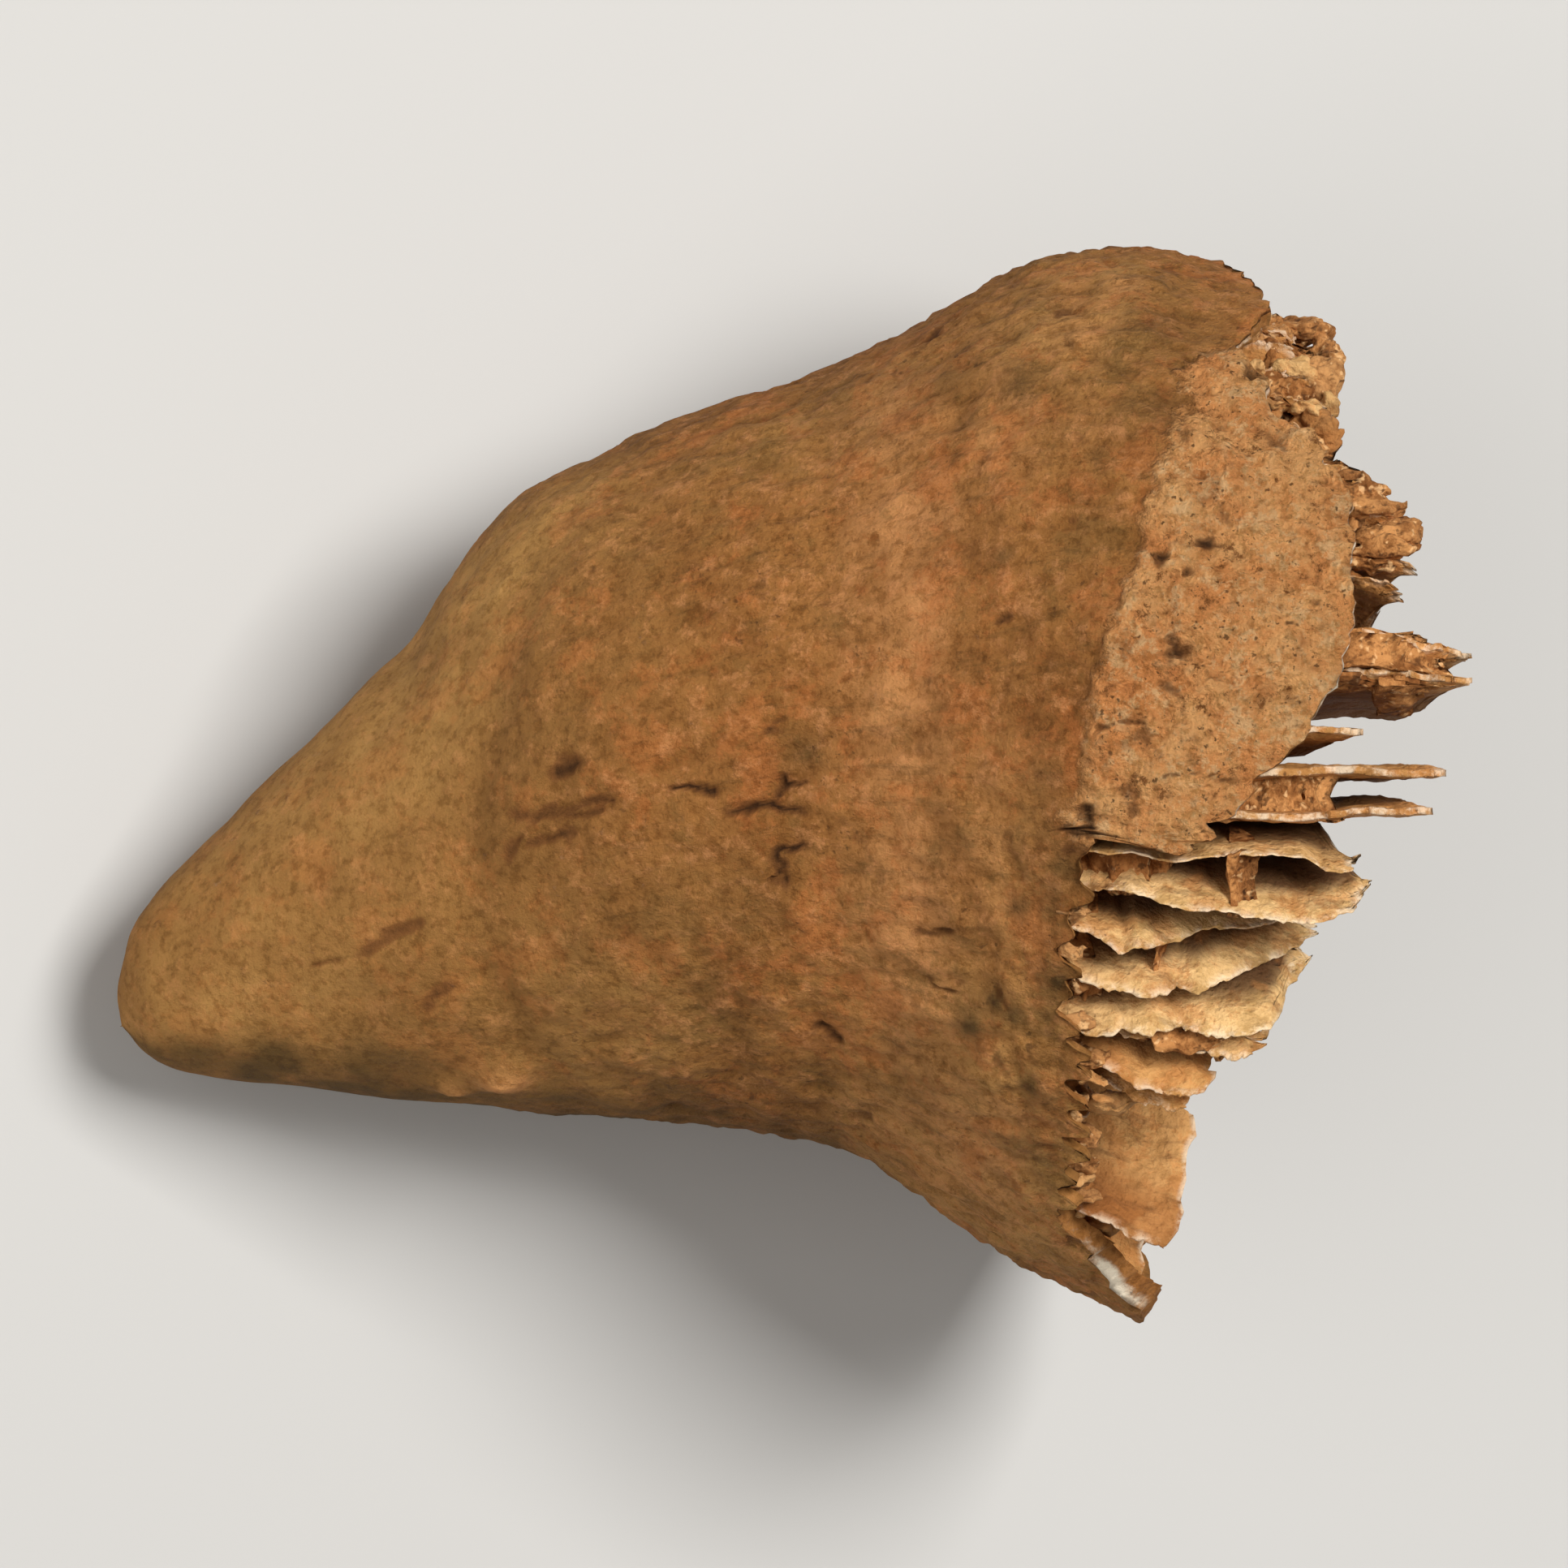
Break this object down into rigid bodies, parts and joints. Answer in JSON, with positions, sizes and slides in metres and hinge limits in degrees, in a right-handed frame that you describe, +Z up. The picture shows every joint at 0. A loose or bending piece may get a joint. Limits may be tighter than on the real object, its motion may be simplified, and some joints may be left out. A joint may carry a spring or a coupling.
{
  "type": "fossil horn coral",
  "caption": "Fossil horn coral lying on its side: a blunt-tipped horn that widens to a cup of thin radial septa, with the rim broken back on one side.",
  "frame": {"origin": "on the table, under the middle of the bounding box", "axes": "+X from the blunt tip towards the calice, +Y across the horn, +Z up from the table"},
  "size_m": [0.044, 0.0402, 0.0372],
  "materials": {
    "fossil_coral": "matt, weathered, with fine grain"
  },
  "bodies": {
    "root": {"horn_coral": "fossil_coral"}
  },
  "joints": []
}
